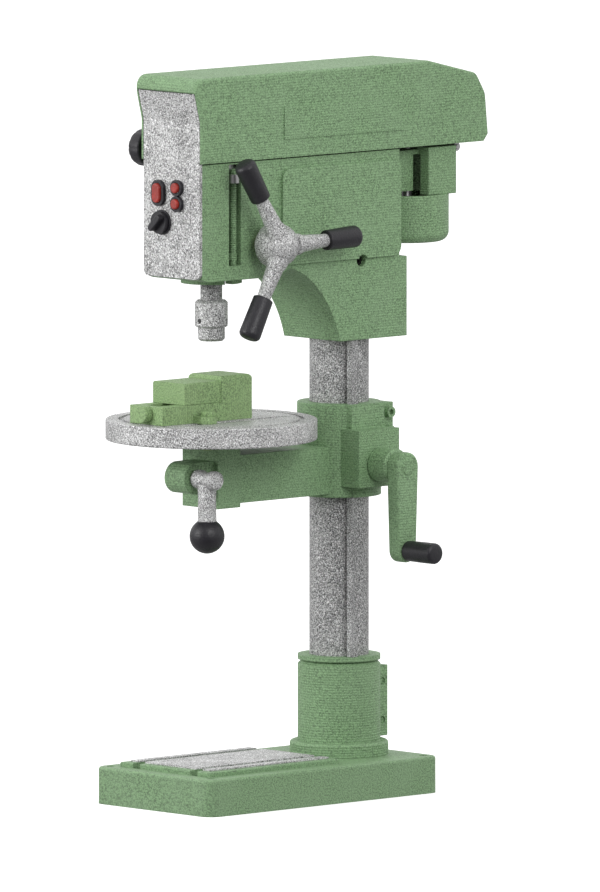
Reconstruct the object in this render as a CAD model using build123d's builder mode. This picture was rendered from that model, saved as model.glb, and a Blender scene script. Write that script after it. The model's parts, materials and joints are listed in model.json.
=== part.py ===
from build123d import *
import os
from math import acos, cos, pi, radians, sin, tan

# A bench pillar drill. Millimetres, +Z up, origin on the column's axis at the bench.
# The operator stands at -Y, and the feed star is on the +X side.

os.makedirs("parts", exist_ok=True)

# ---------------------------------------------------------------- fits
running = 0.05  # radial clearance of what turns or slides in a bore
seat = 0.02  # radial clearance of what is pushed home and stays
face_gap = 0.3  # between faces that pass each other

# ---------------------------------------------------------------- column and base
column_d = 82.0
column_wall = 8.0
column_top = 862.0
base_width = 235.0
base_front = 352.0
base_back = 82.0
base_height = 51.0
base_corner = 18.0
base_edge = 4.0
pad_width = 180.0
pad_front = 327.0
pad_back = 85.0
pad_height = 6.5
land_inset = 10.0
land_height = 2.5
slot_spacing = 116.0
slot_neck = 14.0
slot_neck_depth = 13.0
slot_head = 23.0
slot_head_depth = 9.0
recess_wall = 24.0
recess_depth = 24.0
foot_hole_d = 12.0
foot_hole_inset = 17.0
socket_flange_rim = 11.0
socket_flange_height = 19.0
socket_wall = 16.0
socket_height = 131.0
socket_chamfer = 6.0
socket_lug_width = 44.0
socket_lug_out = 14.0
socket_slit = 4.0
socket_bolt_out = 8.0  # from the column's surface to the bolts' axes

# ---------------------------------------------------------------- head
spindle_reach = 240.0
nose_width = 112.0
plate_proud = 4.0  # of the raised plates on the head's sides
nose_reach = 69.0  # ahead of the spindle's axis
body_front = 162.0
body_back = 61.0
head_bottom = 725.0
head_top = 886.0
head_wall = 10.0
clamp_bottom = 628.0
clamp_front = 51.0
clamp_back = 75.0
clamp_shoulder = 738.0
arch_front = 145.0
arch_top = 735.0
quill_boss_d = 84.0
quill_boss_bottom = 718.0
column_boss_wall = 11.0
set_screw_d = 17.0
set_screw_y = -11.0
set_screw_z = 737.0
set_screw_depth = 12.0  # under the plate's face

# ---------------------------------------------------------------- hood over the belt
hood_proud = 4.0  # of the head, each side
hood_overhang = 17.0  # ahead of the nose
hood_back = 225.0
hood_top = 1005.0
hood_seam = 888.0
hood_wall = 4.0
hood_slope_start = 115.0
hood_slope_drop = 22.0
hood_round = 16.0
hinge_pin_d = 6.0
hinge_barrel_d = 14.0
latch_setback = 21.0  # behind the nose
latch_z = 901.0
latch_knob_d = 51.0

# ---------------------------------------------------------------- control panel
panel_thick = 5.0
panel_bottom = 729.0
panel_break = 944.0
panel_lean = 10.0
panel_top = 984.0
button_reach = 9.0
button_travel = 3.5

# ---------------------------------------------------------------- quill, spindle and chuck
quill_d = 56.0
quill_bottom = 722.0
quill_length = 138.0
quill_travel = 40.0
spindle_d = 20.0
spindle_neck_d = 30.0
spindle_top = 952.0
bearing_d = 38.0
bearing_width = 14.0
chuck_top = 694.0
chuck_collar_d = 45.0
chuck_collar_height = 37.0
chuck_sleeve_d = 37.0
chuck_sleeve_height = 19.0
chuck_bore = 10.0

# ---------------------------------------------------------------- rack and pinion, shared by feed and lift
gear_module = 2.0
pinion_teeth = 14
pressure_angle = 20.0
rack_addendum = 1.4
backlash = 0.7  # taken off each tooth at the pitch line
root_gap = 0.5
pinion_width = 16.0
feed_z = 772.0
feed_shaft_d = 18.0
star_reach = 139.0
star_hub_d = 60.0
star_first_arm = 2.0
star_length = 58.0  # out from the head
star_arms_out = 40.0
feed_shaft_out = 46.0
grip_d = 30.0

# ---------------------------------------------------------------- belt drive and motor
belt_z = 918.0
belt_width = 10.0
belt_height = 7.0
spindle_pulley_d = 92.0
motor_pulley_d = 62.0
pulley_height = 28.0
motor_y = 128.0
motor_d = 116.0
motor_bottom = 752.0
motor_block_bottom = 818.0
motor_block_width = 100.0
motor_block_front = 122.0
motor_block_back = 182.0
motor_arm_width = 60.0
motor_flange_width = 92.0
motor_flange_thick = 8.0
motor_shaft_d = 14.0

# ---------------------------------------------------------------- table and its bracket
lift_up = 25.0
collar_drop = 121.0  # this and the next drops are measured down from the table's top
collar_height = 129.0
collar_wall = 17.0
lift_drop = 74.0
rack_thick = 12.0
rack_depth = 10.0
ring_height = 7.0
gearbox_reach = 80.0
gearbox_width = 76.0
gearbox_height = 79.0
crank_hub_d = 47.0
crank_arm_x = 116.0
crank_arm_thick = 22.0
crank_throw = 115.0
crank_grip_d = 29.0
crank_grip_length = 56.0
arm_width = 62.0
arm_bottom_drop = 116.0
arm_top_drop = 50.0
block_width = 71.0
block_length = 42.0
block_bottom_drop = 121.0
lock_axis_drop = 77.0
lock_boss_d = 43.0
lock_hub_d = 26.0
lock_hub_length = 44.0
lock_arm_r = (12.0, 12.8)
lock_ball_d = 48.0
lock_drop = 77.0  # from the axis to the ball
lock_reach = 55.0  # ahead of the spindle's axis
lock_x = (-12.0, 28.0)
table_column_gap = 95.0  # from the column's axis to the table's rim
table_rim = 28.0
table_top = 531.0
table_spigot_d = 32.0
groove_inset = 21.0
groove_width = 7.0
table_slot_width = 12.0

# ---------------------------------------------------------------- drill vise
vise_width = 66.0
vise_ahead = 121.0  # of the spindle's axis
vise_behind = 45.0
vise_bed = 25.0
fixed_jaw_height = 61.0
moving_jaw_height = 55.0
jaw_ahead = 12.0
moving_jaw_length = 67.0
vise_screw_d = 12.0
vise_screw_height = 14.0

# ---------------------------------------------------------------- values worked out from these
spindle_y = -spindle_reach
socket_d = column_d + 2 * socket_wall
socket_flange_d = socket_d + 2 * socket_flange_rim
socket_lug_reach = socket_d / 2 + socket_lug_out
socket_bolt_circle = column_d + 2 * socket_bolt_out
collar_d = column_d + 2 * collar_wall
column_boss_d = column_d + 2 * column_boss_wall
body_width = nose_width + 2 * plate_proud
hood_width = nose_width + 2 * hood_proud
nose_front = spindle_reach + nose_reach
hood_front = nose_front + hood_overhang
latch_y = -nose_front + latch_setback
panel_face_y = -nose_front - panel_thick
star_x = body_width / 2 + star_arms_out
feed_shaft_end = body_width / 2 + feed_shaft_out
collar_bottom = table_top - collar_drop
lift_z = table_top - lift_drop
arm_bottom = table_top - arm_bottom_drop
arm_top = table_top - arm_top_drop
block_bottom = table_top - block_bottom_drop
lock_z = table_top - lock_axis_drop
lock_y = spindle_y - lock_reach
table_d = 2 * (spindle_reach - table_column_gap)
groove_radius = table_d / 2 - groove_inset
vise_front = spindle_reach + vise_ahead
vise_back = spindle_reach - vise_behind
jaw_y = spindle_y - jaw_ahead
base_top = base_height
land_top = base_top + pad_height + land_height
socket_top = base_top + socket_height
pitch_radius = gear_module * pinion_teeth / 2
tooth_pitch = pi * gear_module
column_bore_r = column_d / 2 + running
feed_y = spindle_y + quill_d / 2 - gear_module / 2 + pitch_radius
rack_face = -pitch_radius + rack_addendum
rack_x = (column_d / 2 + 0.6, column_d / 2 + 0.6 + rack_depth)
table_bottom = table_top - table_rim
along_x = (0, 90, 0)
along_y = (-90, 0, 0)


# ---------------------------------------------------------------- small helpers
def save(part, name):
    """Names a finished piece and writes it."""
    part.label = name
    export_step(part, f"parts/{name}.step")


def rod(radius, start, length, turn=(0, 0, 0), mode=Mode.ADD):
    """A cylinder that starts at a point and runs along a turned Z."""
    with Locations(Location(start, turn)):
        Cylinder(radius, length, align=(Align.CENTER, Align.CENTER, Align.MIN), mode=mode)


def cone(low, high, start, length, turn=(0, 0, 0), mode=Mode.ADD):
    """A cone from one radius to another, placed as rod is."""
    with Locations(Location(start, turn)):
        Cone(low, high, length, align=(Align.CENTER, Align.CENTER, Align.MIN), mode=mode)


def ring(outer, inner, start, length, turn=(0, 0, 0)):
    """A tube placed as rod is."""
    rod(outer, start, length, turn)
    rod(inner, start, length, turn, Mode.SUBTRACT)


def block(x, y, z, mode=Mode.ADD):
    """A box between three pairs of coordinates."""
    middle = tuple((span[0] + span[1]) / 2 for span in (x, y, z))
    with Locations(middle):
        Box(x[1] - x[0], y[1] - y[0], z[1] - z[0], mode=mode)


def both(half):
    """The span from minus half to half."""
    return (-half, half)


def hexagon(across_flats, start, length, turn=(0, 0, 0), mode=Mode.ADD):
    """A hexagonal prism placed as rod is."""
    with BuildSketch(Plane(Location(start, turn))) as outline:
        RegularPolygon(across_flats / 2, 6, major_radius=False)
    extrude(outline.sketch, amount=length, mode=mode)


def cap_screw(shank, head_d, head_height, start, length, turn):
    """A socket cap screw: start is under the head, and the shank runs along the turned Z."""
    place = Location(start, turn)
    back = place * Location((0, 0, -head_height))
    with Locations(back):
        Cylinder(head_d / 2, head_height, align=(Align.CENTER, Align.CENTER, Align.MIN))
    with Locations(place):
        Cylinder(shank / 2, length, align=(Align.CENTER, Align.CENTER, Align.MIN))
    with BuildSketch(Plane(back)) as drive:
        RegularPolygon(head_d / 4, 6, major_radius=False)
    extrude(drive.sketch, amount=head_height * 0.6, mode=Mode.SUBTRACT)


# ---------------------------------------------------------------- base plate
t_slot_x = (-slot_spacing / 2, slot_spacing / 2)
recess_back = -socket_flange_d / 2 - 22
foot_x = base_width / 2 - foot_hole_inset
foot_y = (-base_front + foot_hole_inset, base_back - foot_hole_inset)
socket_bolt_places = PolarLocations(socket_bolt_circle / 2, 4, start_angle=45)
foot_screw_d = 10.0
foot_head_d = 16.0
foot_head_height = 10.0

with BuildPart() as base_plate:
    block(both(base_width / 2), (-base_front, base_back), (0, base_height))
    fillet(base_plate.edges().filter_by(Axis.Z), base_corner)
    fillet(base_plate.faces().sort_by(Axis.Z)[-1].edges(), base_edge)
    block(both(pad_width / 2), (-pad_front, -pad_back), (base_top, base_top + pad_height))
    fillet(base_plate.faces().sort_by(Axis.Z)[-1].edges(), 2)
    inset = land_inset
    block(
        both(pad_width / 2 - inset),
        (-pad_front + inset, -pad_back - inset),
        (base_top + pad_height, land_top),
    )
    for x in t_slot_x:
        neck = (x - slot_neck / 2, x + slot_neck / 2)
        head = (x - slot_head / 2, x + slot_head / 2)
        slot_y = (-pad_front - 1, -pad_back + 1)
        neck_bottom = land_top - slot_neck_depth
        block(neck, slot_y, (neck_bottom, land_top + 1), Mode.SUBTRACT)
        block(head, slot_y, (neck_bottom - slot_head_depth, neck_bottom), Mode.SUBTRACT)
    block(
        both(base_width / 2 - recess_wall),
        (-base_front + recess_wall, recess_back),
        (-1, recess_depth),
        Mode.SUBTRACT,
    )
    for y in foot_y:
        for x in (-foot_x, foot_x):
            rod(foot_hole_d / 2, (x, y, -1), base_height + 2, mode=Mode.SUBTRACT)
    with socket_bolt_places:
        Cylinder(foot_screw_d / 2 + 0.5, 3 * base_height, mode=Mode.SUBTRACT)
        with Locations((0, 0, foot_head_height / 2 + 1)):
            Cylinder(foot_head_d / 2 + 1, foot_head_height + 2, mode=Mode.SUBTRACT)
save(base_plate.part, "base_plate")

# ---------------------------------------------------------------- column socket
lug_z = (socket_top - 110, socket_top - 12)
lug_screw_z = (socket_top - 88, socket_top - 34)
lug_screw_d = 10.0
lug_screw_y = socket_lug_reach - lug_screw_d / 2 - 4.5
lug_half = socket_lug_width / 2

with BuildPart() as column_socket:
    rod(socket_flange_d / 2, (0, 0, base_top), socket_flange_height)
    fillet(column_socket.faces().sort_by(Axis.Z)[-1].edges(), 4)
    rod(socket_d / 2, (0, 0, base_top), socket_height)
    chamfer(column_socket.faces().sort_by(Axis.Z)[-1].edges(), socket_chamfer)
    block(both(lug_half), (column_d / 2, socket_lug_reach), lug_z)
    rod(column_bore_r, (0, 0, base_top - 1), socket_height + 2, mode=Mode.SUBTRACT)
    slit_low = base_top + socket_flange_height + 4
    block(both(socket_slit / 2), (0, socket_lug_reach + 1), (slit_low, socket_top + 1), Mode.SUBTRACT)
    for z in lug_screw_z:
        start = (-lug_half - 1, lug_screw_y, z)
        rod(lug_screw_d / 2 + seat, start, socket_lug_width + 2, along_x, Mode.SUBTRACT)
    with socket_bolt_places:
        with Locations((0, 0, base_top)):
            Cylinder(foot_screw_d / 2 + seat, 50, mode=Mode.SUBTRACT)
save(column_socket.part, "column_socket")

with BuildPart() as socket_screws:
    for spot in socket_bolt_places.local_locations:
        under_head = (spot.position.X, spot.position.Y, foot_head_height + 2)
        cap_screw(foot_screw_d, foot_head_d, foot_head_height, under_head, base_height + 10, (0, 0, 0))
    for z in lug_screw_z:
        cap_screw(lug_screw_d, 16, 10, (-lug_half, lug_screw_y, z), socket_lug_width - 2, along_x)
save(socket_screws.part, "socket_screws")

# ---------------------------------------------------------------- column
with BuildPart() as column:
    ring(column_d / 2, column_d / 2 - column_wall, (0, 0, base_top), column_top - base_top)
    chamfer(column.faces().sort_by(Axis.Z)[-1].edges(), 1.5)
save(column.part, "column")

# ---------------------------------------------------------------- head casting
cavity_top = head_top + 1
cavity_floor = head_bottom + 18
pinion_bore_r = feed_shaft_d / 2 + running
slot_y = (spindle_y - 19, spindle_y + 3)
slot_z = (745, 884)
stop_x = nose_width / 2 - 6
stop_y = spindle_y - 6

with BuildPart() as head_casting:
    with BuildSketch(Plane.YZ):
        with BuildLine():
            Polyline(
                (-nose_front, head_top), (-nose_front, panel_bottom), (-nose_front + 12, head_bottom),
                (-arch_front - 25, head_bottom), (-arch_front, arch_top),
            )
            Spline(
                (-arch_front, arch_top), (-95, 706), (-clamp_front, clamp_bottom),
                tangents=[(1, -0.25), (0.25, -1)],
            )
            Polyline(
                (-clamp_front, clamp_bottom), (clamp_back, clamp_bottom), (clamp_back, clamp_shoulder),
                (body_back, clamp_shoulder), (body_back, head_top), (-nose_front, head_top),
            )
        make_face()
    extrude(amount=nose_width / 2, both=True)
    for side in (-1, 1):
        plate_x = sorted((side * (nose_width / 2 - 1), side * body_width / 2))
        with BuildSketch(Plane.YZ.offset(plate_x[0])):
            with Locations(((body_back - body_front) / 2, 806)):
                RectangleRounded(body_back + body_front, 132, 14)
        extrude(amount=plate_x[1] - plate_x[0])
    rod(quill_boss_d / 2, (0, spindle_y, quill_boss_bottom), head_bottom - quill_boss_bottom + 5)
    block(both(nose_width / 2 - head_wall), (-nose_front + head_wall, body_back - head_wall),
          (cavity_floor, cavity_top), Mode.SUBTRACT)
    rod(quill_boss_d / 2, (0, spindle_y, cavity_floor - 1), 872 - cavity_floor)
    rod(column_boss_d / 2, (0, 0, cavity_floor - 1), column_top + 10 - cavity_floor)
    rod(column_bore_r, (0, 0, clamp_bottom - 1), column_top - clamp_bottom + 1, mode=Mode.SUBTRACT)
    rod(quill_d / 2 + running, (0, spindle_y, quill_boss_bottom - 1), 160, mode=Mode.SUBTRACT)
    block(both(pinion_width / 2 + 1), (feed_y - 18, feed_y + 18), (feed_z - 18, feed_z + 18), Mode.SUBTRACT)
    rod(feed_shaft_d / 2 + 4, (-body_width / 2 - 1, feed_y, feed_z), body_width + 2, along_x, Mode.SUBTRACT)
    block((nose_width / 2 - 16, nose_width / 2 + 1), slot_y, slot_z, Mode.SUBTRACT)
    rod(set_screw_d / 2, (column_d / 2 - 2, set_screw_y, set_screw_z), 40, along_x, Mode.SUBTRACT)
    block((-34, 36), (-nose_front - 1, -nose_front + head_wall + 1), (790, 868), Mode.SUBTRACT)
    block((-hood_width / 2 + 4.8, -hood_width / 2 + 8.7), (latch_y - 18, latch_y + 18), (879.5, cavity_top), Mode.SUBTRACT)
    rod(5 + face_gap, (stop_x, stop_y, head_bottom - 1), 40, mode=Mode.SUBTRACT)
    block((spindle_d, stop_x), (stop_y - 6, stop_y + 6), (head_bottom - 9, slot_z[0] + 22), Mode.SUBTRACT)
    motor_screw_places = [(x, z) for x in (-38, 38) for z in (836, 866)]
    for x, z in motor_screw_places:
        rod(4 + seat, (x, body_back - head_wall - 1, z), head_wall + 2, along_y, Mode.SUBTRACT)
save(head_casting.part, "head_casting")

with BuildPart() as head_set_screw:
    length = body_width / 2 - column_d / 2 - set_screw_depth
    rod(set_screw_d / 2 - seat, (column_d / 2, set_screw_y, set_screw_z), length, along_x)
    hexagon(8, (column_d / 2 + length + 1, set_screw_y, set_screw_z), 5, (0, -90, 0), Mode.SUBTRACT)
save(head_set_screw.part, "head_set_screw")

# ---------------------------------------------------------------- hood, its hinge and latch
hinge_y = motor_block_back + 9.0
hinge_z = hood_seam - 8.0

with BuildPart() as top_cover:
    with BuildSketch(Plane.YZ):
        with BuildLine():
            Polyline(
                (panel_face_y, hood_seam), (panel_face_y, panel_break), (panel_face_y - panel_lean, panel_top),
                (-hood_front, panel_top + 2), (-hood_front, hood_top), (hood_slope_start, hood_top),
                (hood_back - 20, hood_top - hood_slope_drop), (hood_back - 6, 960),
                (hood_back, hood_seam + 10), (hood_back - 8, hood_seam), (panel_face_y, hood_seam),
            )
        make_face()
    extrude(amount=hood_width / 2, both=True)
    front_top = top_cover.edges().filter_by(Axis.X).group_by(Axis.Z)[-1].sort_by(Axis.Y)[0]
    rear_top = top_cover.edges().filter_by(Axis.X).filter_by(lambda e: e.center().Z > 950).sort_by(Axis.Y)[-2:]
    fillet(front_top, hood_round)
    fillet(rear_top[0], 14)
    upper = top_cover.faces().filter_by(lambda f: f.normal_at().Z > 0.7).edges()
    fillet(upper.filter_by(lambda e: abs(e.center().X) > hood_width / 2 - 1), 5)
    block(both(nose_width / 2 + 1), (-hood_front - 1, -nose_front + 1), (hood_seam - 1, panel_top + 1), Mode.SUBTRACT)
    block(both(hood_width / 2 - hood_wall), (-nose_front + 6, hood_slope_start), (hood_seam - 1, hood_top - 5), Mode.SUBTRACT)
    block(both(hood_width / 2 - hood_wall), (hood_slope_start - 1, hood_back - 12), (hood_seam - 1, 955), Mode.SUBTRACT)
    for side in (-1, 1):
        panel_x = sorted((side * (hood_width / 2 - 1), side * (hood_width / 2 + 1.5)))
        block(panel_x, (-160, 62), (913, 958))
    rod(7.2, (-hood_width / 2 - 1, latch_y, latch_z), 8, along_x, Mode.SUBTRACT)
save(top_cover.part, "top_cover")

with BuildPart() as hood_latch:
    rod(7, (-hood_width / 2 - 6, latch_y, latch_z), 14, along_x)
    block((-hood_width / 2 + 5.5, -hood_width / 2 + 8), (latch_y - 4, latch_y + 4), (latch_z - 20, latch_z + 6))
save(hood_latch.part, "hood_latch")

with BuildPart() as latch_knob:
    rod(latch_knob_d / 2, (-hood_width / 2 - 34, latch_y, latch_z), 26, along_x)
    fillet(latch_knob.faces().sort_by(Axis.X)[0].edges(), 10)
    rod(14, (-hood_width / 2 - 10, latch_y, latch_z), 8, along_x)
    rod(7 + seat, (-hood_width / 2 - 6, latch_y, latch_z), 10, along_x, Mode.SUBTRACT)
save(latch_knob.part, "latch_knob")

# ---------------------------------------------------------------- front panel and its controls
panel_y = -nose_front
oval_x = -24.0
round_x = 13.0
upper_z, oval_z, lower_z, selector_z = 853.0, 844.0, 831.0, 804.0
selector_x = -18.0

with BuildPart() as front_panel:
    with BuildSketch(Plane.YZ):
        with BuildLine():
            Polyline(
                (panel_y, panel_bottom), (panel_y - panel_thick, panel_bottom),
                (panel_y - panel_thick, panel_break), (panel_y - panel_thick - panel_lean, panel_top),
                (panel_y - panel_lean, panel_top), (panel_y, panel_break), (panel_y, panel_bottom),
            )
        make_face()
    extrude(amount=nose_width / 2, both=True)
    fillet(front_panel.edges().filter_by(Axis.Y).group_by(Axis.Z)[0], 9)
    for x, z, r in ((oval_x, oval_z, 6), (round_x, upper_z, 6), (round_x, lower_z, 6), (selector_x, selector_z, 6)):
        rod(r + face_gap, (x, panel_y - 20, z), 30, along_y, Mode.SUBTRACT)
save(front_panel.part, "front_panel")

with BuildPart() as switch_bodies:
    collar = 5.0
    with BuildSketch(Plane(Location((oval_x, panel_face_y, oval_z), (90, 0, 0)))):
        SlotOverall(36, 24, rotation=90)
        SlotOverall(28, 16, rotation=90, mode=Mode.SUBTRACT)
    extrude(amount=collar)
    for z in (upper_z, lower_z):
        ring(11, 7.6, (round_x, panel_face_y - collar, z), collar, along_y)
    ring(17, 8, (selector_x, panel_face_y - 3, selector_z), 3, along_y)
save(switch_bodies.part, "switch_bodies")


button_head = button_reach - button_travel - face_gap


def round_button(z, name):
    with BuildPart() as button:
        rod(7, (round_x, panel_face_y - button_reach, z), button_head, along_y)
        fillet(button.faces().sort_by(Axis.Y)[0].edges(), 2)
        rod(6, (round_x, panel_face_y - button_travel - 2, z), panel_thick + button_travel + 4, along_y)
    save(button.part, name)


round_button(upper_z, "start_button")
round_button(lower_z, "jog_button")
with BuildPart() as stop_button:
    with BuildSketch(Plane(Location((oval_x, panel_face_y - button_travel - face_gap, oval_z), (90, 0, 0)))):
        SlotOverall(27, 15, rotation=90)
    extrude(amount=button_head)
    fillet(stop_button.faces().sort_by(Axis.Y)[0].edges(), 2)
    rod(6, (oval_x, panel_face_y - button_travel - 2, oval_z), panel_thick + button_travel + 4, along_y)
save(stop_button.part, "stop_button")

with BuildPart() as selector_knob:
    rod(15, (selector_x, panel_face_y - 9, selector_z), 9 - 3 - face_gap, along_y)
    rod(6, (selector_x, panel_face_y - 6, selector_z), panel_thick + 6 + face_gap, along_y)
    with BuildSketch(Plane(Location((selector_x, panel_face_y - 8, selector_z), (90, 0, 0)))):
        SlotOverall(29, 9, rotation=45)
    extrude(amount=10)
    fillet(selector_knob.faces().sort_by(Axis.Y)[0].edges(), 1.5)
save(selector_knob.part, "selector_knob")

# ---------------------------------------------------------------- belt drive
spindle_pulley_z = belt_z - pulley_height / 2


def pulley(diameter, bore, y, name):
    with BuildPart() as wheel:
        rod(diameter / 2, (0, y, spindle_pulley_z), pulley_height)
        for z in (belt_z - 7, belt_z + 7):
            with BuildSketch(Plane.XZ.offset(-y)):
                with BuildLine():
                    r = diameter / 2
                    Polyline(
                        (r - 8, z - 2.5), (r + 1, z - 5.5), (r + 1, z + 5.5),
                        (r - 8, z + 2.5), (r - 8, z - 2.5),
                    )
                make_face()
            revolve(axis=Axis((0, y, 0), (0, 0, 1)), mode=Mode.SUBTRACT)
        rod(bore, (0, y, spindle_pulley_z - 1), pulley_height + 2, mode=Mode.SUBTRACT)
    save(wheel.part, name)


pulley_sleeve_bottom = 876.0
sleeve_r = 16.0
pulley(spindle_pulley_d, sleeve_r + seat, spindle_y, "spindle_pulley")
pulley(motor_pulley_d, motor_shaft_d / 2 + seat, motor_y, "motor_pulley")

with BuildPart() as pulley_sleeve:
    ring(sleeve_r, spindle_d / 2 + running, (0, spindle_y, pulley_sleeve_bottom), belt_z + 14 - pulley_sleeve_bottom)
save(pulley_sleeve.part, "pulley_sleeve")


big = spindle_pulley_d / 2 + 0.5
small = motor_pulley_d / 2 + 0.5
with BuildPart() as drive_belts:
    for z in (belt_z - 7, belt_z + 7):
        for inward, how in ((0, Mode.ADD), (belt_height, Mode.SUBTRACT)):
            with BuildSketch(Plane.XY.offset(z - 2.2)):
                with BuildLine():
                    r1, r2 = big - inward, small - inward
                    span = motor_y - spindle_y
                    tilt = (r1 - r2) / span
                    c = (1 - tilt * tilt) ** 0.5
                    a1, a2 = (r1 * c, spindle_y + r1 * tilt), (r2 * c, motor_y + r2 * tilt)
                    Line(a1, a2)
                    ThreePointArc(a2, (0, motor_y + r2), (-a2[0], a2[1]))
                    Line((-a2[0], a2[1]), (-a1[0], a1[1]))
                    ThreePointArc((-a1[0], a1[1]), (0, spindle_y - r1), a1)
                make_face()
            extrude(amount=4.4, mode=how)
save(drive_belts.part, "drive_belts")

# ---------------------------------------------------------------- motor
with BuildPart() as motor_mount:
    block(both(motor_flange_width / 2), (body_back, body_back + motor_flange_thick), (824, 880))
    block(both(motor_arm_width / 2), (body_back, motor_block_front + 2), (824, 880))
    block(both(motor_block_width / 2), (motor_block_front, motor_block_back), (motor_block_bottom, 884))
    chamfer(motor_mount.edges().filter_by(Axis.Z).group_by(Axis.Y)[-1], 8)
    rod(34, (0, motor_y, motor_block_bottom - 1), 57, mode=Mode.SUBTRACT)
    rod(14, (0, motor_y, motor_block_bottom), 80, mode=Mode.SUBTRACT)
    for x, z in motor_screw_places:
        rod(4 + seat, (x, body_back - 1, z), 16, along_y, Mode.SUBTRACT)
save(motor_mount.part, "motor_mount")

with BuildPart() as motor_mount_screws:
    for x, z in motor_screw_places:
        cap_screw(8, 13, 8, (x, body_back - head_wall, z), head_wall + motor_flange_thick, along_y)
save(motor_mount_screws.part, "motor_mount_screws")

with BuildPart() as motor_housing:
    rod(motor_d / 2, (0, motor_y, motor_bottom), motor_block_bottom - motor_bottom)
    fillet(motor_housing.faces().sort_by(Axis.Z)[0].edges(), 14)
    block(both(20), (body_back + 2, motor_y), (770, 812))
    rod(motor_d / 2 - 5, (0, motor_y, motor_bottom + 6), 80, mode=Mode.SUBTRACT)
    rod(10, (0, motor_y, motor_bottom - 1), 10, mode=Mode.SUBTRACT)
save(motor_housing.part, "motor_housing")

with BuildPart() as motor_stator:
    ring(motor_d / 2 - 5 - seat, 34, (0, motor_y, motor_bottom + 14), 44)
save(motor_stator.part, "motor_stator")

with BuildPart() as motor_rotor:
    rod(33, (0, motor_y, motor_bottom + 16), 40)
    rod(motor_shaft_d / 2, (0, motor_y, motor_bottom + 2), belt_z + 18 - motor_bottom)
save(motor_rotor.part, "motor_rotor")

with BuildPart() as drive_bearings:
    ring(quill_boss_d / 2 + 2, sleeve_r + running, (0, spindle_y, pulley_sleeve_bottom - 4.9), 12)
    ring(10 - seat, motor_shaft_d / 2 + running, (0, motor_y, motor_bottom), 6)
    ring(14 - seat, motor_shaft_d / 2 + running, (0, motor_y, 876), 8)
save(drive_bearings.part, "drive_bearings")

# ---------------------------------------------------------------- hood hinge
with BuildPart() as hinge_fixed_leaf:
    block(both(34), (motor_block_back, motor_block_back + 2.5), (862, hinge_z))
    for x in (-34, -9, 17):
        rod(hinge_pin_d, (x, hinge_y, hinge_z), 17, along_x)
        block((x, x + 17), (motor_block_back, hinge_y), (hinge_z - 3, hinge_z))
    rod(hinge_pin_d / 2 + running, (-40, hinge_y, hinge_z), 80, along_x, Mode.SUBTRACT)
save(hinge_fixed_leaf.part, "hinge_fixed_leaf")

with BuildPart() as hinge_moving_leaf:
    for x in (-16.5, 8.5):
        rod(hinge_pin_d, (x, hinge_y, hinge_z), 7.5, along_x)
        block((x, x + 7.5), (hinge_y, hinge_y + hinge_pin_d), (hinge_z, hood_seam + 3))
    block(both(20), (hinge_y, hood_back - 12), (hood_seam + 1, hood_seam + 4))
    rod(hinge_pin_d / 2 + running, (-40, hinge_y, hinge_z), 80, along_x, Mode.SUBTRACT)
save(hinge_moving_leaf.part, "hinge_moving_leaf")

with BuildPart() as hinge_pin:
    rod(hinge_pin_d / 2, (-36, hinge_y, hinge_z), 72, along_x)
save(hinge_pin.part, "hinge_pin")

with BuildPart() as cable_gland:
    rod(11, (-motor_block_width / 2 - 4, 152, 850), 4, along_x)
    rod(8, (-motor_block_width / 2 - 16, 152, 850), 16, along_x)
    rod(4, (-motor_block_width / 2 - 17, 152, 850), 18, along_x, Mode.SUBTRACT)
save(cable_gland.part, "cable_gland")


# ---------------------------------------------------------------- toothing shared by both racks
def rack_spaces(pitch_y, middle_z, first, last, x_span):
    """Cuts the spaces between the teeth of a rack whose teeth point towards +Y."""
    half = (tooth_pitch / 2 + backlash) / 2
    slope = tan(radians(pressure_angle))
    deep = rack_addendum + root_gap
    out = 3.0
    for k in range(first, last + 1):
        z = middle_z + k * tooth_pitch
        with BuildSketch(Plane.YZ.offset(x_span[0])) as space:
            with BuildLine():
                Polyline(
                    (pitch_y - deep, z - half + deep * slope), (pitch_y + out, z - half - out * slope),
                    (pitch_y + out, z + half + out * slope), (pitch_y - deep, z + half - deep * slope),
                    (pitch_y - deep, z - half + deep * slope),
                )
            make_face()
        extrude(space.sketch, amount=x_span[1] - x_span[0], mode=Mode.SUBTRACT)


def pinion_teeth_outline(y, z):
    """An involute pinion about (y, z) with a tooth pointing towards -Y."""
    base_r = pitch_radius * cos(radians(pressure_angle))
    tip_r = pitch_radius + rack_addendum
    root_r = pitch_radius - rack_addendum - root_gap

    def involute(angle):
        return tan(angle) - angle

    def half_angle(r):
        turn = acos(min(1.0, base_r / r))
        return (tooth_pitch / 4 - 0.05) / pitch_radius + involute(radians(pressure_angle)) - involute(turn)

    radii = (root_r, base_r, pitch_radius, tip_r)
    points = []
    for k in range(pinion_teeth):
        middle = pi + 2 * pi * k / pinion_teeth
        for side, run in ((-1, radii), (1, radii[::-1])):
            for r in run:
                angle = middle + side * half_angle(r)
                points.append((y + r * cos(angle), z + r * sin(angle)))
    return points + points[:1]


def pinion(y, z, x_span):
    """A pinion with its axis along X."""
    with BuildSketch(Plane.YZ.offset(x_span[0])) as outline:
        with BuildLine():
            Polyline(*pinion_teeth_outline(y, z))
        make_face()
    extrude(outline.sketch, amount=x_span[1] - x_span[0])


# ---------------------------------------------------------------- quill, spindle and chuck
quill_top = quill_bottom + quill_length
quill_pitch_y = spindle_y + quill_d / 2 - gear_module / 2
bearing_z = (quill_bottom + 5, quill_top - 5 - bearing_width)

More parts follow.
